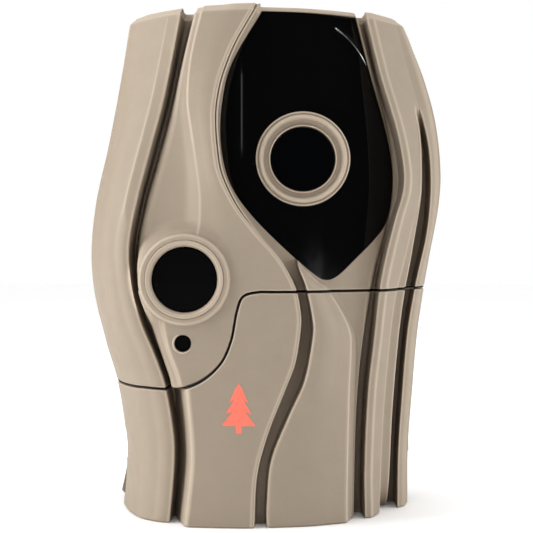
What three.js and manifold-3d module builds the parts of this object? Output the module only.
// Trail camera: a ribbed two-part front shell over a rear housing, with a hinged door and a side latch.
// Millimetres, +Z up, front towards -Y. The origin is the centre of the base on the ground.
import * as THREE from 'three';
import { mergeVertices } from 'three/addons/utils/BufferGeometryUtils.js';
import Module from 'manifold-3d';

const wasm = await Module();
wasm.setup();

// ---------------------------------------------------------------- driving dimensions
const HEIGHT = 140;
const FRONT_Y = -30;          // foremost plane of the front shell
const PARTING_Y = 7;          // plane where front shell and rear housing meet
const BACK_Y = 30;            // face of the tree pad
const GAP = 0.3;              // clearance between touching pieces
const WALL = 2.2;             // moulded wall
const GROOVE_FLOOR = 15.5;    // depth of the left groove behind the foremost plane
const SHELF_DEPTH = 6.5;      // depth of the window shelf at its shallowest
const RIGHT_GROOVE_FLOOR = 20;
const SEAM_HALF_GAP = 0.22;

const LENS = { x: 9.9, z: 98.8, outer: 12.8, mid: 10.8, glass: 8.6 };
const SENSOR = { x: -21.9, z: 66.1, base: 13, top: 12.1, ring: 10.4, glass: 8.5 };
const INDICATOR = { x: -22.4, z: 49, hole: 2.3 };

const CELL = { radius: 7.1, length: 50.5, pitch: 14.5, x: -8.2, y: -1.3, z: 11.7 };
const TRAY = { left: -34.5, right: 18.1, front: -6, back: 21.4, bottom: 3.7, top: 34.6, wall: 0.8 };
const PANEL = { front: -4.5, back: -2.7, right: 29.1 };
const DISPLAY = { left: -6, right: 18, bottom: 43, top: 57 };
const BUTTONS = { radius: 2.4, z: 38.6, xs: [-8, 0, 8, 16] };
const SWITCH = { x: 25.2, bottom: 43, height: 5, travel: 8 };
const CARD = { x: 20.3, z: 17.5, width: 11, length: 15, thick: 1, front: -6.8 };
const USB = { x: 26.3, z: 17, width: 3.4, height: 9.6 };
const POSTS = [[26.5, 6.2], [10, 59.2], [-30, 36.9]];

const BACK_WALL_Y = 24;       // outside of the rear housing's back wall
const INNER_BACK_Y = 21.8;
const PAD = { x: 24, half: 3, bottom: 28, top: 122 };
const STRAP = { bottom: 56, top: 84, front: 24.2, back: 28.6 };
const CABLE = { bottom: 108, top: 116 };
const INSERT = { z: 98, outer: 5, bore: 3.2, front: 14 };
const SCREWS = [[-31, 130], [35.5, 130], [-43, 72], [39.4, 76]];
const SCREW = { shank: 1.3, head: 2.6, headFront: 20.4, headBack: 22.2, tip: 1 };

const HINGE = { x: 40.2, y: 11, pin: 1.1, knuckle: 2.3, bottom: 3, top: 62, count: 5 };
const HINGE_RECESS = { left: 37, back: 19.6, top: 65 };
const LATCH = { x: -40.3, z: 30, pin: 1, hub: 2.3, front: 9.8, back: 20.7 };
const LATCH_ARM = { tip: 0, low: 14.5, high: 21.5 };
const LATCH_POCKET = { right: -37.6, front: 9.5, back: 21, top: 35 };
const LED = { radius: 2.5, xs: [0, 8, 16, 24], zs: [127, 118], face: -7 };

// ---------------------------------------------------------------- feature lines of the front shell, [z, x]
// Each line is a smooth curve up the front. Those on the left bow to the left, the others to the right.
const outlineLeft = curve([[0, -42], [6, -41.3], [13, -41], [20, -41.2], [36, -43.7], [48, -47.2],
  [62, -50.5], [74, -51.4], [89, -49.9], [107, -45.8], [125, -42.1], [140, -39.4]]);
const outlineRight = curve([[0, 41.6], [17, 41.8], [33, 43], [49, 44.4], [64, 46.5], [74, 48.3],
  [87, 50.7], [97, 51.4], [111, 50], [124, 46.6], [134, 42.6], [140, 39.4]]);
const leftRibEdge = curve([[0, -26.4], [8, -25.6], [17, -25], [24, -25.2], [37, -27.4], [45, -30.1],
  [55, -34.2], [66, -36.7], [75, -37.3], [87, -35.2], [102, -31.3], [116, -27.6], [140, -22.9]]);
const grooveEdgeShell = curve([[30, -24.6], [39, -26.1], [43, -27.5], [53, -31], [63, -34.2],
  [69, -34.9], [76, -34.6], [87, -32.4], [99, -29], [111, -25.8], [125, -22.7], [140, -19]]);
const grooveEdgeDoor = curve([[0, -22.6], [16, -20.9], [24, -21], [36, -22.1], [66, -24]]);
const shoulderEdge = curve([[30, -22], [39, -23.2], [49, -26.6], [56, -27.3], [66, -23], [78, -18.6],
  [88, -17.9], [98, -19.1], [106, -20.3], [113, -21.3], [120, -21.2], [128, -20.1], [140, -17.2]]);
const spineEdge = curve([[0, -3.3], [14, -2.5], [25, 0.4], [37, 5.1], [44, 7.7], [54, 9.2], [58, 9],
  [64, 7.7], [71, 3.9], [79, -3], [86, -8.2], [94, -12], [100, -13.2], [110, -13.8], [118, -12.7],
  [124, -10.8], [130, -8.2], [140, -2.4]]);
const prowLeft = curve([[0, 0.1], [6, 0.1], [18, 1.3], [30, 6.1], [39, 10.1], [51, 12.4], [55, 12.4],
  [64, 10.6], [71, 8.4], [140, 8.4]]);
const prowRight = curve([[0, 21.9], [9, 21.9], [36, 22.5], [47, 23], [52, 22.7], [58, 20], [64, 15.9],
  [66, 13.2], [71, 8.7], [140, 8.7]]);
const rightGroove = curve([[0, 25.2], [25, 25.8], [40, 26.8], [53, 28.5], [68, 31.3], [78, 33.9],
  [88, 36.1], [94, 36.9], [107, 35.1], [117, 32.6], [140, 26]]);
const rightRibEdge = curve([[0, 26.8], [13, 26.6], [35, 27.6], [50, 29.3], [64, 30.9], [73, 32.7],
  [83, 35.2], [90, 37.2], [96, 37.5], [107, 35.6], [123, 30.9], [140, 26.8]]).plus(0.4);
const slotLeft = curve([[0, 34.9], [16, 35.4], [30, 36.1], [51, 38], [64, 39.8], [70, 40.9], [78, 42.2],
  [85, 43.3], [91, 44], [98, 44.1], [105, 43.8], [111, 43], [124, 39.9], [140, 35.6]]);
const slotRight = curve([[0, 37.7], [16, 37.9], [30, 38.8], [51, 40.6], [64, 42.8], [70, 44.1], [78, 45.9],
  [87, 47], [96, 47.4], [103, 47.3], [110, 45.9], [114.5, 43.2], [124, 40.6], [140, 36.2]]);

// Depths behind the foremost plane, [z, depth].
const shoulderDepth = curve([[30, 3.2], [80, 3], [140, 3.6]]);
const grooveEdgeDepth = curve([[30, 5.5], [56, 7.5], [80, 8.5], [140, 6]]);
const shoulderStep = curve([[30, 0.1], [60, 0.3], [78, 2.2], [140, 1.8]]);
const outerEdgeDepth = curve([[0, 18], [60, 18], [90, 19.4], [140, 18.6]]);
const outerStep = curve([[0, 11], [3, 8], [8, 5.5], [16, 4.3], [60, 4.3], [78, 2], [90, 0.3], [140, 0.3]]);
const slotFloorDepth = curve([[0, 34.4], [95, 34.2], [106, 33], [112, 28], [115.5, 20.9], [124, 20.7],
  [140, 20.2]]);
const outerFinDepth = curve([[0, 25.7], [95, 25.5], [109, 23.5], [115, 21.2], [124, 20.9], [140, 20.4]]);

// The lower seam: low on the left, a round rise, then high on the right, [x, z].
const SEAM = [[-34, 36.5], [-25, 36.5], [-18, 38.6], [-12.3, 43.6], [-9.4, 50], [-8, 57.3],
  [-6.4, 61.4], [-2.5, 62.7], [4, 62.8], [31, 63]];

// The window's side seen from the front, [x, z], from its top right corner round the foot to its
// top left corner. The top edge is straight.
const WINDOW = [[24.6, 138.6], [28.6, 124], [32.9, 110], [35.2, 100], [35.6, 92], [34.2, 83.5],
  [31, 78.2], [24, 71.2], [19.6, 67.2], [16.4, 66], [13, 67.6], [4.6, 74.8], [-4.4, 84], [-10, 92.6],
  [-12.3, 103], [-12, 114], [-9.2, 125], [-1.2, 138.6]];

// ---------------------------------------------------------------- materials
function plastic(color, roughness = 0.75) {
  return new THREE.MeshStandardMaterial({ color, roughness, metalness: 0 });
}

function metal(color, roughness = 0.35) {
  return new THREE.MeshStandardMaterial({ color, roughness, metalness: 1 });
}

const TAN = plastic('#b3a38d');
const GLOSS_BLACK = plastic('#080808', 0.08);
const BLACK = plastic('#151515', 0.5);
const RUBBER = plastic('#1c1c1c', 0.9);
const BOARD = plastic('#1f5a36', 0.5);
const GLASS = plastic('#0b0d10', 0.05);
const STEEL = metal('#b9bcc0');
const BRASS = metal('#b58a4a');
const CELL_JACKET = plastic('#5e6a72', 0.35);
const LIGHT = plastic('#d8dce4', 0.15);

// ---------------------------------------------------------------- curves
// A smooth curve value(z) through [z, value] points, with slopes taken from the neighbours.
function curve(points) {
  const last = points.length - 1;
  const slope = (i) => {
    const [za, va] = points[Math.max(i - 1, 0)];
    const [zb, vb] = points[Math.min(i + 1, last)];
    return (vb - va) / (zb - za);
  };
  const value = (z) => {
    let i = 0;
    while (i < last - 1 && z > points[i + 1][0]) i += 1;
    const [z0, v0] = points[i];
    const [z1, v1] = points[i + 1];
    const span = z1 - z0;
    const t = Math.min(Math.max((z - z0) / span, 0), 1);
    const t2 = t * t;
    const t3 = t2 * t;
    return (2 * t3 - 3 * t2 + 1) * v0 + (t3 - 2 * t2 + t) * span * slope(i)
      + (3 * t2 - 2 * t3) * v1 + (t3 - t2) * span * slope(i + 1);
  };
  value.plus = (offset) => (z) => value(z) + offset;
  return value;
}

function mix(a, b, t) {
  return a + (b - a) * t;
}

function ramp(value, low, high) {
  return Math.min(Math.max((value - low) / (high - low), 0), 1);
}

// Depth of the window shelf, which curves back round the right of the front.
function shelfDepth(x) {
  return SHELF_DEPTH + 0.0095 * (x + 3) ** 2;
}

// ---------------------------------------------------------------- solids
function solid(geometry) {
  const bare = geometry.clone();
  bare.deleteAttribute('normal');
  bare.deleteAttribute('uv');
  const merged = mergeVertices(bare, 1e-4);
  const vertProperties = new Float32Array(merged.attributes.position.array);
  const triVerts = new Uint32Array(merged.index.array);
  if (signedVolume(vertProperties, triVerts) < 0) {
    for (let i = 0; i < triVerts.length; i += 3) {
      [triVerts[i + 1], triVerts[i + 2]] = [triVerts[i + 2], triVerts[i + 1]];
    }
  }
  return new wasm.Manifold(new wasm.Mesh({ numProp: 3, vertProperties, triVerts }));
}

function signedVolume(position, index) {
  const [a, b, c] = [new THREE.Vector3(), new THREE.Vector3(), new THREE.Vector3()];
  let total = 0;
  for (let i = 0; i < index.length; i += 3) {
    a.fromArray(position, 3 * index[i]);
    b.fromArray(position, 3 * index[i + 1]);
    c.fromArray(position, 3 * index[i + 2]);
    total += a.dot(b.cross(c));
  }
  return total;
}

function toGeometry(manifold) {
  const mesh = manifold.getMesh();
  const geometry = new THREE.BufferGeometry();
  geometry.setAttribute('position', new THREE.BufferAttribute(mesh.vertProperties, 3));
  geometry.setIndex(new THREE.BufferAttribute(mesh.triVerts, 1));
  geometry.computeVertexNormals();
  return geometry;
}

function join(...parts) {
  return parts.reduce((a, b) => a.add(b));
}

function cut(body, ...tools) {
  return tools.reduce((a, b) => a.subtract(b), body);
}

function box(x0, x1, y0, y1, z0, z1) {
  const geometry = new THREE.BoxGeometry(x1 - x0, y1 - y0, z1 - z0);
  geometry.translate((x0 + x1) / 2, (y0 + y1) / 2, (z0 + z1) / 2);
  return solid(geometry);
}

// A solid of revolution about an axis along Y, X or Z. The profile is [radius, distance along the axis].
function turned(profile, axis, place, segments = 32) {
  const points = profile.map(([r, h]) => new THREE.Vector2(r, h));
  const closed = profile[0][0] > 0;
  if (closed) points.push(points[0].clone());
  const geometry = new THREE.LatheGeometry(points, segments);
  if (axis === 'x') geometry.rotateZ(-Math.PI / 2);
  if (axis === 'z') geometry.rotateX(Math.PI / 2);
  geometry.translate(...place);
  return solid(geometry);
}

function rod(radius, axis, from, to, place, segments = 24) {
  return turned([[0, from], [radius, from], [radius, to], [0, to]], axis, place, segments);
}

function ring(outer, inner, axis, from, to, place, segments = 32) {
  return turned([[inner, from], [outer, from], [outer, to], [inner, to]], axis, place, segments);
}

// An outline in the XZ plane, made solid between two Y planes.
function plateY(outline, y0, y1) {
  const shape = new THREE.Shape(outline.map(([x, z]) => new THREE.Vector2(x, z)));
  const geometry = new THREE.ExtrudeGeometry(shape, { depth: y1 - y0, bevelEnabled: false });
  geometry.rotateX(Math.PI / 2);
  geometry.translate(0, y1, 0);
  return solid(geometry);
}

// An outline in the XY plane, made solid between two Z planes.
function plateZ(outline, z0, z1) {
  const shape = new THREE.Shape(outline.map(([x, y]) => new THREE.Vector2(x, y)));
  const geometry = new THREE.ExtrudeGeometry(shape, { depth: z1 - z0, bevelEnabled: false });
  geometry.translate(0, 0, z0);
  return solid(geometry);
}

// A solid through a stack of outlines with the same number of points, capped at both ends.
function loft(rows) {
  const count = rows[0].length;
  const position = rows.flat(2);
  const index = [];
  for (let r = 0; r < rows.length - 1; r += 1) {
    for (let i = 0; i < count; i += 1) {
      const j = (i + 1) % count;
      const [a, b, c, d] = [r * count + i, r * count + j, (r + 1) * count + j, (r + 1) * count + i];
      index.push(a, b, c, a, c, d);
    }
  }
  const flat = (row) => (row[0][2] === row[1][2] && row[0][2] === row[2][2]
    ? row.map(([x, y]) => new THREE.Vector2(x, y))
    : row.map(([x, , z]) => new THREE.Vector2(x, z)));
  const capEnd = (r, turn) => {
    const start = r * count;
    for (const [a, b, c] of THREE.ShapeUtils.triangulateShape(flat(rows[r]), [])) {
      index.push(...(turn ? [start + a, start + c, start + b] : [start + a, start + b, start + c]));
    }
  };
  const clockwise = THREE.ShapeUtils.isClockWise(flat(rows[0]));
  capEnd(0, !clockwise);
  capEnd(rows.length - 1, clockwise);
  const geometry = new THREE.BufferGeometry();
  geometry.setAttribute('position', new THREE.Float32BufferAttribute(position, 3));
  geometry.setIndex(index);
  return solid(geometry);
}

// ---------------------------------------------------------------- assembly
const camera = new THREE.Group();

function place(name, body, material) {
  const mesh = new THREE.Mesh(toGeometry(body), material);
  mesh.name = name;
  camera.add(mesh);
}

// ---------------------------------------------------------------- front shell surfaces
// Outer section at height z, from left to right, as [x, depth].
function outerSection(z, isDoor) {
  const left = outlineLeft(z);
  const ribEdge = leftRibEdge(z);
  const grooveEdge = isDoor ? grooveEdgeDoor(z) : grooveEdgeShell(z);
  const edgeDepth = isDoor ? 2.8 : grooveEdgeDepth(z);
  const shoulder = isDoor ? grooveEdge + 2.2 : Math.max(shoulderEdge(z), grooveEdge + 1.2);
  const shoulderTop = isDoor ? 1.4 : shoulderDepth(z);
  const step = isDoor ? 0.2 : shoulderStep(z);
  const spine = spineEdge(z);
  const spineDepth = mix(0, 0.9, z / HEIGHT);
  const rise = 1 - ramp(z, 70, 72.5);
  const prowA = prowLeft(z);
  const prowB = Math.max(prowRight(z), prowA + 0.3);
  const groove = rightGroove(z);
  const rib = rightRibEdge(z);
  const finLeft = slotLeft(z);
  const outer = finLeft - mix(3.1, 0.9, ramp(z, 60, 90));
  const outerFace = outerEdgeDepth(z) + outerStep(z);
  const finRight = Math.max(slotRight(z), finLeft + 0.6);
  const right = Math.max(outlineRight(z), finRight + 1);
  const shelf = (x) => shelfDepth(x) - 0.8;
  const prowDepth = (x, crown) => mix(shelf(x), crown, rise);
  const shelfEnd = groove - 1.2;
  const foot = Math.min(prowB + 1, shelfEnd - 0.3);
  const slant = ramp(z, 100, 140);
  return [
    [left, PARTING_Y - FRONT_Y],
    [left, mix(31, 26.5, slant)],
    [left + mix(3, 2.5, slant), mix(20, 17.8, slant)],
    [mix(left, ribEdge, 0.45), mix(11.8, 13, slant)],
    [mix(left, ribEdge, 0.78), mix(7.6, 8.8, slant)],
    [ribEdge, 6.6],
    [ribEdge + 0.7, GROOVE_FLOOR],
    [grooveEdge - 0.4, GROOVE_FLOOR],
    [grooveEdge, edgeDepth],
    [mix(grooveEdge, shoulder, 0.75), mix(edgeDepth, shoulderTop + step, 0.85)],
    [shoulder, shoulderTop],
    [mix(shoulder, spine, 0.5), spineDepth + (isDoor ? 0.25 : 0.7)],
    [spine, spineDepth],
    [spine + 1, shelf(spine)],
    [prowA - 0.5, shelf(prowA)],
    [prowA, prowDepth(prowA, 0.7)],
    [mix(prowA, prowB, 0.5), prowDepth(mix(prowA, prowB, 0.5), 2)],
    [prowB, prowDepth(prowB, mix(2.5, 6.5, ramp(prowB, 9, 22)))],
    [foot, shelf(foot)],
    [mix(foot, shelfEnd, 0.34), shelf(mix(foot, shelfEnd, 0.34))],
    [mix(foot, shelfEnd, 0.67), shelf(mix(foot, shelfEnd, 0.67))],
    [shelfEnd, shelf(shelfEnd)],
    [groove - 0.6, RIGHT_GROOVE_FLOOR],
    [rib - 0.6, RIGHT_GROOVE_FLOOR],
    [rib, 12],
    [rib + 2.2, 12.9],
    [outer, outerEdgeDepth(z)],
    [outer + 0.5, outerFace],
    [finLeft, Math.min(outerFace + 1.2, slotFloorDepth(z) + 0.2)],
    [finLeft + 0.2, slotFloorDepth(z)],
    [finRight - 0.2, slotFloorDepth(z)],
    [finRight, outerFinDepth(z)],
    [mix(finRight, right, 0.6), outerFinDepth(z) + 2],
    [right, 33],
    [right, PARTING_Y - FRONT_Y],
  ];
}

// Inner section: one wall behind every face, hollow inside each rib that is wide enough.
function innerSection(z, isDoor) {
  const left = outlineLeft(z) + 2.4;
  const ribEdge = leftRibEdge(z);
  const grooveEdge = isDoor ? grooveEdgeDoor(z) : grooveEdgeShell(z);
  const spine = spineEdge(z);
  const prowA = prowLeft(z);
  const prowB = prowRight(z);
  const rib = rightRibEdge(z);
  const outer = slotLeft(z) - 3;
  const behindShelf = (x) => shelfDepth(x) + 1.7;
  const hollow = (from, to, top, floor) => {
    const room = ramp(to - from, 0.6, 4);
    const middle = (from + to) / 2;
    const half = Math.max((to - from) / 2, 0.1);
    const depth = mix(floor, top, room);
    return [[middle - half, depth], [middle + half, depth]];
  };
  const ribFloor = GROOVE_FLOOR + WALL;
  const shelfFloor = behindShelf(Math.max(spine, 0));
  const grooveStart = rightGroove(z) - 2.8;
  const prow = hollow(prowA + 2, prowB - 2, isDoor ? 6.5 : 8, behindShelf(prowA));
  const backEdge = PARTING_Y - FRONT_Y + 2;
  return [
    [left, backEdge],
    [left, 31.5],
    [left + 3, 22.5],
    [mix(left, ribEdge, 0.4) + 1, 15.2],
    [ribEdge - 2.2, 10.6],
    [ribEdge - 1.6, ribFloor],
    [grooveEdge + 1.6, ribFloor],
    [grooveEdge + 2.1, isDoor ? 5.8 : 11.4],
    [spine - 2.2, isDoor ? 3.4 : 8.9],
    [spine - 1.7, shelfFloor],
    [prow[0][0] - 0.4, shelfFloor],
    ...prow,
    [Math.max(prow[1][0] + 0.4, prowB - 1.4), behindShelf(prowB)],
    [mix(prowB, grooveStart, 0.5), behindShelf(mix(prowB, grooveStart, 0.5)) + 0.4],
    [grooveStart, RIGHT_GROOVE_FLOOR + WALL],
    [rib + 1.6, RIGHT_GROOVE_FLOOR + WALL],
    [rib + 2.2, 16.5],
    [outer - 2.4, 21],
    [outer - 2.2, 33],
    [outer - 2.2, backEdge],
  ];
}

function shellLoft(section, low, high, steps, isDoor) {
  const rows = [];
  for (let k = 0; k <= steps; k += 1) {
    const z = mix(low, high, k / steps);
    rows.push(section(z, isDoor).map(([x, depth]) => [x, FRONT_Y + depth, z]));
  }
  return loft(rows);
}

// Everything on one side of the seam. The line moves half the gap towards that side.
function seamBlock(above) {
  const side = above ? 1 : -1;
  const points = SEAM.map(([x, z]) => new THREE.Vector2(x, z));
  const line = new THREE.SplineCurve(points).getPoints(27).map(({ x, y }) => [x, y]);
  const moved = [[-60, SEAM[0][1]], ...line, [60, SEAM.at(-1)[1] + 0.4]]
    .map(([x, z]) => [x - side * SEAM_HALF_GAP, z + side * SEAM_HALF_GAP]);
  const far = above ? HEIGHT + 5 : -5;
  return plateY([...moved, [60, far], [-60, far]], FRONT_Y - 5, PARTING_Y + 5);
}

// The window outline, moved outwards by offset.
function windowOutline(offset) {
  const side = new THREE.SplineCurve(WINDOW.map(([x, z]) => new THREE.Vector2(x, z)));
  const points = side.getPoints(44);
  return points.map((point, i) => {
    const before = points[Math.max(i - 1, 0)];
    const after = points[Math.min(i + 1, points.length - 1)];
    const along = after.clone().sub(before).normalize();
    const rise = i === 0 || i === points.length - 1 ? offset : 0;
    return [point.x - along.y * offset, point.y + along.x * offset + rise];
  });
}

// ---------------------------------------------------------------- front housing and window
const atLens = (y = 0) => [LENS.x, y, LENS.z];
const atSensor = (y = 0) => [SENSOR.x, y, SENSOR.z];
const atIndicator = (y = 0) => [INDICATOR.x, y, INDICATOR.z];

function frontHousing() {
  const outside = shellLoft(outerSection, 33, HEIGHT, 22, false);
  const inside = shellLoft(innerSection, 30, HEIGHT - WALL, 15, false);
  const boss = turned([[0, 14], [SENSOR.base, 14], [SENSOR.base, 9.5], [SENSOR.base - 0.4, 3.2],
    [SENSOR.top, 0.3], [0, 0.3]], 'y', atSensor(FRONT_Y), 36);
  const bossHollow = rod(SENSOR.top - WALL, 'y', 7, 20, atSensor(FRONT_Y), 28);
  const sensorHole = rod(SENSOR.ring + GAP, 'y', -1, 20, atSensor(FRONT_Y), 28);
  const indicatorHole = rod(INDICATOR.hole, 'y', -1, 22, atIndicator(FRONT_Y), 16);
  const opening = plateY(windowOutline(GAP), FRONT_Y - 1, FRONT_Y + 27);
  const shell = cut(join(outside, boss).intersect(seamBlock(true)), inside, bossHollow, sensorHole,
    indicatorHole, opening);
  const bosses = SCREWS.filter(([x]) => x < 0)
    .map(([x, z]) => rod(3, 'y', -16.5, PARTING_Y - 0.2, [x, 0, z], 12));
  const pilots = SCREWS
    .map(([x, z]) => rod(SCREW.shank + GAP, 'y', SCREW.tip - 0.5, PARTING_Y + 1, [x, 0, z], 12));
  return cut(join(shell, ...bosses), ...pilots);
}

function irWindow() {
  const front = [];
  const back = [];
  for (let x = -16; x <= 40; x += 4) {
    front.push([x, FRONT_Y + shelfDepth(x)]);
    back.unshift([x, FRONT_Y + shelfDepth(x) + 2.4]);
  }
  const sheet = plateZ([...front, ...back], 60, HEIGHT);
  const lensHole = rod(LENS.outer + GAP, 'y', -1, 30, atLens(FRONT_Y), 40);
  return cut(sheet.intersect(plateY(windowOutline(0), FRONT_Y, FRONT_Y + 30)), lensHole);
}

function lensBezel() {
  const { outer, mid, glass } = LENS;
  const profile = [[glass + GAP, 17], [glass + GAP, 7.4], [mid - 0.7, 6.8], [mid, 5.4], [outer - 0.6, 5.4],
    [outer, 6.2], [outer, 17]];
  return turned(profile, 'y', atLens(FRONT_Y), 36);
}

function sensorBezel() {
  const { ring: outer, glass } = SENSOR;
  const profile = [[glass + GAP, 9], [glass + GAP, 1.2], [glass + 0.9, 0], [outer, 0], [outer, 9]];
  return turned(profile, 'y', atSensor(FRONT_Y), 36);
}

// ---------------------------------------------------------------- rear housing
// The rear housing's outline at one Y plane, drawn in by inset at the sides and lift at top and bottom.
function rearOutline(y, inset, lift) {
  const corner = 1.6;
  const low = lift;
  const high = HEIGHT - lift;
  const steps = 12;
  const left = [];
  const right = [];
  for (let k = 0; k <= steps; k += 1) {
    const z = mix(low + corner, high - corner, k / steps);
    left.push([outlineLeft(z) + inset, y, z]);
    right.unshift([outlineRight(z) - inset, y, z]);
  }
  const cornerPoint = ([x], z, inward) => [x + inward * corner, y, z];
  return [cornerPoint(left[0], low, 1), ...left, cornerPoint(left.at(-1), high, 1),
    cornerPoint(right[0], high, -1), ...right, cornerPoint(right.at(-1), low, -1)];
}

// The cavity's mouth: straight beside the latch and hinge, and one wall inside the outline above them.
function cavityOutline(inset) {
  const zs = [44, 56, 68, 80, 92, 104, 116, 128, 137.4 - inset];
  const left = zs.map((z) => [outlineLeft(z) + 2.7 + inset, z]);
  const right = zs.slice(2).reverse().map((z) => [outlineRight(z) - 2.7 - inset, z]);
  const low = WALL + inset;
  return [[-36 + inset, low], [-36 + inset, 37 + inset], ...left, ...right, [34.6 - inset, 66.6 + inset],
    [34.6 - inset, low]];
}

function hingeSpan(index) {
  const length = (HINGE.top - HINGE.bottom) / HINGE.count;
  const low = HINGE.bottom + index * length;
  return [low + 0.2, low + length - 0.2];
}

// The knuckles with these indices, each with its web to the piece it belongs to.
function knuckles(indices, web) {
  return indices.map((index) => {
    const [low, high] = hingeSpan(index);
    return rod(HINGE.knuckle, 'z', low, high, [HINGE.x, HINGE.y, 0], 24).add(box(...web, low, high));
  });
}

function hingeBore() {
  return rod(HINGE.pin + GAP, 'z', HINGE.bottom - 1, HINGE.top + 1, [HINGE.x, HINGE.y, 0], 20);
}

function rearHousing() {
  const outside = loft([rearOutline(PARTING_Y + GAP, 0, 0), rearOutline(17, 0.4, 0),
    rearOutline(21.5, 2, 1.2), rearOutline(BACK_WALL_Y, 6, 4)]);
  const cavity = plateY(cavityOutline(0), PARTING_Y - 1, INNER_BACK_Y);
  const pads = [-1, 1].map((side) => box(side * PAD.x - PAD.half, side * PAD.x + PAD.half, BACK_WALL_Y - 1,
    BACK_Y, PAD.bottom, PAD.top));
  const slot = (low, high) => box(-40, 40, STRAP.front, STRAP.back, low, high);
  const postBack = INNER_BACK_Y + 0.5;
  const screwPosts = SCREWS.map(([x, z]) => rod(3.6, 'y', PARTING_Y + GAP, postBack, [x, 0, z], 20));
  const screwHoles = SCREWS.map(([x, z]) => join(rod(SCREW.shank + GAP, 'y', 0, 30, [x, 0, z], 12),
    rod(SCREW.head + GAP, 'y', SCREW.headFront - GAP, 30, [x, 0, z], 14)));
  const insertBoss = rod(INSERT.outer + 2, 'y', INSERT.front - 1, postBack, [0, 0, INSERT.z], 28);
  const insertHole = rod(INSERT.outer + GAP, 'y', INSERT.front, 30, [0, 0, INSERT.z], 28);
  const panelPosts = POSTS.map(([x, z]) => rod(1.5, 'y', PANEL.back + GAP, postBack, [x, 0, z], 16));
  const hingeRecess = box(HINGE_RECESS.left, 60, 0, HINGE_RECESS.back, -1, HINGE_RECESS.top);
  const pocket = LATCH_POCKET;
  const latchPocket = box(-60, pocket.right, pocket.front, pocket.back, -1, pocket.top);
  const armSlot = box(-60, pocket.right, 0, 12, LATCH_ARM.low - 1, LATCH_ARM.high + 1);
  const latchBore = rod(LATCH.pin + GAP, 'y', 0, 23, [LATCH.x, 0, LATCH.z], 20);
  const shell = cut(outside, cavity, hingeRecess, latchPocket, armSlot);
  const web = [HINGE_RECESS.left - 0.5, HINGE.x, HINGE.y - 1.6, HINGE.y + 1.6];
  const full = join(shell, ...pads, ...screwPosts, insertBoss, ...panelPosts,
    ...knuckles([0, 2, 4], web));
  return cut(full, slot(STRAP.bottom, STRAP.top), slot(CABLE.bottom, CABLE.top), ...screwHoles, insertHole,
    hingeBore(), latchBore);
}

function gasket() {
  return cut(plateY(cavityOutline(GAP), PARTING_Y + 0.4, PARTING_Y + 2.2),
    plateY(cavityOutline(1.2), PARTING_Y - 1, PARTING_Y + 4),
    ...SCREWS.map(([x, z]) => rod(3.9, 'y', 0, 20, [x, 0, z], 20)));
}

// ---------------------------------------------------------------- door, hinge and latch
function door() {
  const outside = shellLoft(outerSection, 0, 66, 14, true);
  const inside = shellLoft(innerSection, WALL, 70, 10, true);
  const catchBlock = box(-39.6, -36.8, -3, PARTING_Y, 12, 24);
  const catchNotch = box(-60, -39.1, -1.5, PARTING_Y + 1, LATCH_ARM.low - 1, LATCH_ARM.high + 1);
  const shell = cut(outside, inside).intersect(seamBlock(false));
  const web = [HINGE.x - 1.8, HINGE.x + 2, PARTING_Y - 1.5, HINGE.y];
  const body = join(shell, catchBlock, ...knuckles([1, 3], web));
  return cut(body, catchNotch, hingeBore());
}

function hingePin() {
  return rod(HINGE.pin, 'z', HINGE.bottom + 0.3, HINGE.top - 0.3, [HINGE.x, HINGE.y, 0]);
}

function latchPin() {
  return rod(LATCH.pin, 'y', PARTING_Y + 0.7, LATCH_POCKET.back + 1.7, [LATCH.x, 0, LATCH.z]);
}

// The lever hangs from its hub and flares out at its free end. Its arm reaches forward to the door.
function latchLever() {
  const outline = [[-42.5, 30], [-42.2, 24], [-41.5, 17], [-41.9, 10], [-43.5, 2.4], [-42.7, 1.5],
    [-41.2, 4], [-39.7, 10], [-39.3, 17], [-38.9, 24], [-38.1, 30]];
  const paddle = plateY(outline, LATCH.front, LATCH.back);
  const hub = rod(LATCH.hub, 'y', LATCH.front, LATCH.back, [LATCH.x, 0, LATCH.z]);
  const arm = box(-41.3, -39.4, LATCH_ARM.tip, LATCH.front + 1, LATCH_ARM.low, LATCH_ARM.high);
  return cut(join(paddle, hub, arm), rod(LATCH.pin + GAP, 'y', 0, 30, [LATCH.x, 0, LATCH.z], 20));
}

// ---------------------------------------------------------------- optics and sensors
function ledBoard() {
  const board = box(-8, 27.5, LED.face, LED.face + 1.4, 82, 133);
  return cut(board, rod(9.5, 'y', -20, 0, atLens(), 36));
}

function led(x, z) {
  const profile = [[0, -4.6], [1.5, -4.2], [LED.radius, -2.4], [LED.radius, -0.3], [0, -0.3]];
  return turned(profile, 'y', [x, LED.face, z], 12);
}

function lensBarrel() {
  const profile = [[0, -19.5], [2.2, -19.2], [4.2, -18.4], [6, -18.4], [6.2, -17.8], [6.2, -3], [0, -3]];
  return turned(profile, 'y', atLens(), 36);
}

function filterPlate() {
  return box(LENS.x - 6, LENS.x + 12, -1.2, -0.4, LENS.z - 5, LENS.z + 5);
}

function sensorCan() {
  const y = FRONT_Y + 12;
  const profile = [[0, 0], [4.2, 0], [4.2, 4], [4.6, 4], [4.6, 4.7], [0, 4.7]];
  return turned(profile, 'y', [SENSOR.x, y, SENSOR.z], 28);
}

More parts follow.
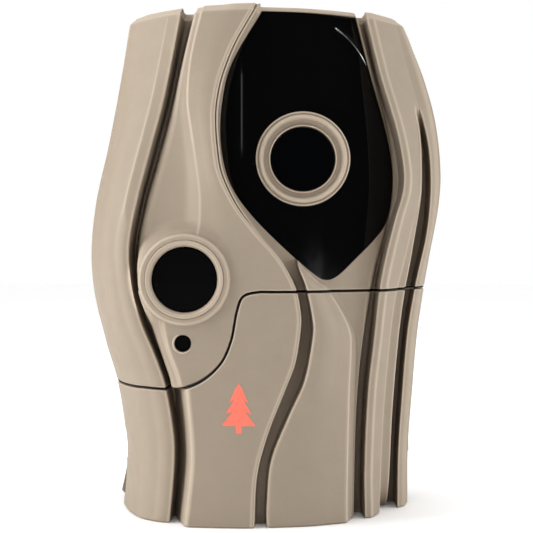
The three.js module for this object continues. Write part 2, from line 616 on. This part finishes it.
// ---------------------------------------------------------------- control bay
function controlPanel() {
  const outline = [[18.5, 3.7], [PANEL.right, 3.7], [PANEL.right, 61], [-5.5, 61], [-8, 55], [-10.5, 47],
    [-15, 41.5], [-21, 38.6], [-34.5, 38.6], [-34.5, 35.1], [18.5, 35.1]];
  const y0 = PANEL.front - 1;
  const y1 = PANEL.back + 1;
  const plate = plateY(outline, PANEL.front, PANEL.back);
  const { left, right, bottom, top } = DISPLAY;
  const buttonHoles = BUTTONS.xs.map((x) => rod(BUTTONS.radius + GAP, 'y', y0, y1, [x, 0, BUTTONS.z], 20));
  return cut(plate,
    box(left - GAP, right + GAP, y0, y1, bottom - GAP, top + GAP),
    box(SWITCH.x - 1.7, SWITCH.x + 1.7, y0, y1, SWITCH.bottom - 0.5,
      SWITCH.bottom + SWITCH.height + SWITCH.travel + 0.5),
    box(CARD.x - 1, CARD.x + 1, y0, y1, CARD.z - CARD.width / 2 - 0.5, CARD.z + CARD.width / 2 + 0.5),
    box(USB.x - USB.width / 2 - GAP, USB.x + USB.width / 2 + GAP, y0, y1, USB.z - USB.height / 2 - GAP,
      USB.z + USB.height / 2 + GAP),
    ...buttonHoles);
}

function button(x) {
  const profile = [[0, -6.4], [BUTTONS.radius - 0.3, -6.4], [BUTTONS.radius, -6.1], [BUTTONS.radius, -2.4],
    [BUTTONS.radius + 0.8, -2.4], [BUTTONS.radius + 0.8, -1.5], [0, -1.5]];
  return turned(profile, 'y', [x, 0, BUTTONS.z], 16);
}

function modeSwitch() {
  const { x, bottom, height } = SWITCH;
  const knob = box(x - 1.3, x + 1.3, -6.5, -2, bottom, bottom + height);
  return knob.add(box(x - 2.6, x + 2.6, -2.4, -1.4, bottom - 1, bottom + height + 1));
}

function cardSocket() {
  const half = CARD.width / 2;
  const { x, z } = CARD;
  const block = box(x - 1.6, x + 1.6, PANEL.back + GAP, 9.8, z - half - 1.4, z + half + 1.4);
  return cut(block, box(x - 0.8, x + 0.8, -10, 8.8, z - half - 0.4, z + half + 0.4));
}

function memoryCard() {
  const half = CARD.width / 2;
  return box(CARD.x - CARD.thick / 2, CARD.x + CARD.thick / 2, CARD.front, CARD.front + CARD.length,
    CARD.z - half, CARD.z + half);
}

function usbPort() {
  const metal = 0.5;
  const [halfX, halfZ] = [USB.width / 2, USB.height / 2];
  const [innerX, innerZ] = [halfX - metal, halfZ - metal];
  const block = box(USB.x - halfX, USB.x + halfX, -4.2, 4, USB.z - halfZ, USB.z + halfZ);
  return cut(block, box(USB.x - innerX, USB.x + innerX, -6, 2, USB.z - innerZ, USB.z + innerZ));
}

function batteryTray() {
  const { left, right, front, back, bottom, top, wall } = TRAY;
  const block = box(left, right, front, back, bottom, top);
  return cut(block, box(left + wall, right - wall, front - 1, back - wall, bottom + wall, top - wall));
}

// A cylindrical cell lying along X with its button end towards turn (+1 right, -1 left).
function cell(row, layer, turn) {
  const half = CELL.length / 2;
  const r = CELL.radius;
  const profile = [[0, -half], [r - 0.6, -half], [r, -half + 0.6], [r, half - 2], [r - 0.6, half - 1.4],
    [2.7, half - 1.4], [2.7, half], [0, half]].map(([radius, h]) => [radius, h * turn]);
  return turned(profile, 'x', [CELL.x, CELL.y + layer * CELL.pitch, CELL.z + row * CELL.pitch], 18);
}

function housingScrew([x, z]) {
  const { shank, head, headFront, headBack, tip } = SCREW;
  const driver = 0.9;
  const profile = [[0, tip], [shank, tip + 1.2], [shank, headFront], [head, headFront],
    [head, headBack - 0.5], [head - 0.5, headBack], [driver, headBack], [driver, headBack - 1],
    [0, headBack - 1]];
  return turned(profile, 'y', [x, 0, z], 10);
}

// ---------------------------------------------------------------- the assembly
place('rear_housing', rearHousing(), TAN);
place('front_housing', frontHousing(), TAN);
place('ir_window', irWindow(), GLOSS_BLACK);
place('lens_bezel', lensBezel(), TAN);
place('lens_window', rod(LENS.glass, 'y', 8, 9.6, atLens(FRONT_Y), 40), GLASS);
place('pir_bezel', sensorBezel(), TAN);
place('pir_window', rod(SENSOR.glass, 'y', 1.4, 3.2, atSensor(FRONT_Y), 40), GLOSS_BLACK);
place('indicator_window', rod(INDICATOR.hole - GAP, 'y', 3.6, 5.6, atIndicator(FRONT_Y)), GLASS);
place('body_gasket', gasket(), RUBBER);
place('door', door(), TAN);
place('hinge_pin', hingePin(), STEEL);
place('latch_lever', latchLever(), TAN);
place('latch_pin', latchPin(), STEEL);
SCREWS.forEach((at, i) => place(`housing_screw_${i + 1}`, housingScrew(at), STEEL));

place('ir_led_board', ledBoard(), BOARD);
LED.zs.forEach((z, row) => LED.xs.forEach((x, i) => place(`ir_led_${row * 4 + i + 1}`, led(x, z), LIGHT)));
place('lens_barrel', lensBarrel(), BLACK);
place('lens_holder', ring(9, 6.5, 'y', -12, -1.6, atLens(), 36), BLACK);
place('ir_cut_filter', filterPlate(), GLASS);
place('image_sensor_board', box(LENS.x - 10, LENS.x + 10, 1.6, 3, LENS.z - 10, LENS.z + 10), BOARD);
place('pir_sensor', sensorCan(), STEEL);
place('pir_sensor_board', box(-30, -14, -13, -11.6, SENSOR.z - 8, SENSOR.z + 8), BOARD);
place('light_sensor', rod(1.8, 'y', 12, 16, atIndicator(FRONT_Y), 16), LIGHT);
place('main_board', box(-34, 35.2, 9, 10.6, 70, 124), BOARD);
place('tripod_insert', ring(INSERT.outer, INSERT.bore, 'y', INSERT.front + GAP, BACK_WALL_Y - 0.1,
  [0, 0, INSERT.z], 28), BRASS);

place('control_panel', controlPanel(), BLACK);
place('display', box(DISPLAY.left, DISPLAY.right, -5, -3, DISPLAY.bottom, DISPLAY.top), GLASS);
BUTTONS.xs.forEach((x, i) => place(`button_${i + 1}`, button(x), RUBBER));
place('mode_switch', modeSwitch(), BLACK);
place('card_socket', cardSocket(), STEEL);
place('memory_card', memoryCard(), BLACK);
place('usb_port', usbPort(), STEEL);
place('battery_tray', batteryTray(), BLACK);
[[0, 0, 1], [1, 0, -1], [0, 1, -1], [1, 1, 1]].forEach((at, i) => place(`battery_${i + 1}`, cell(...at),
  CELL_JACKET));

export default camera;
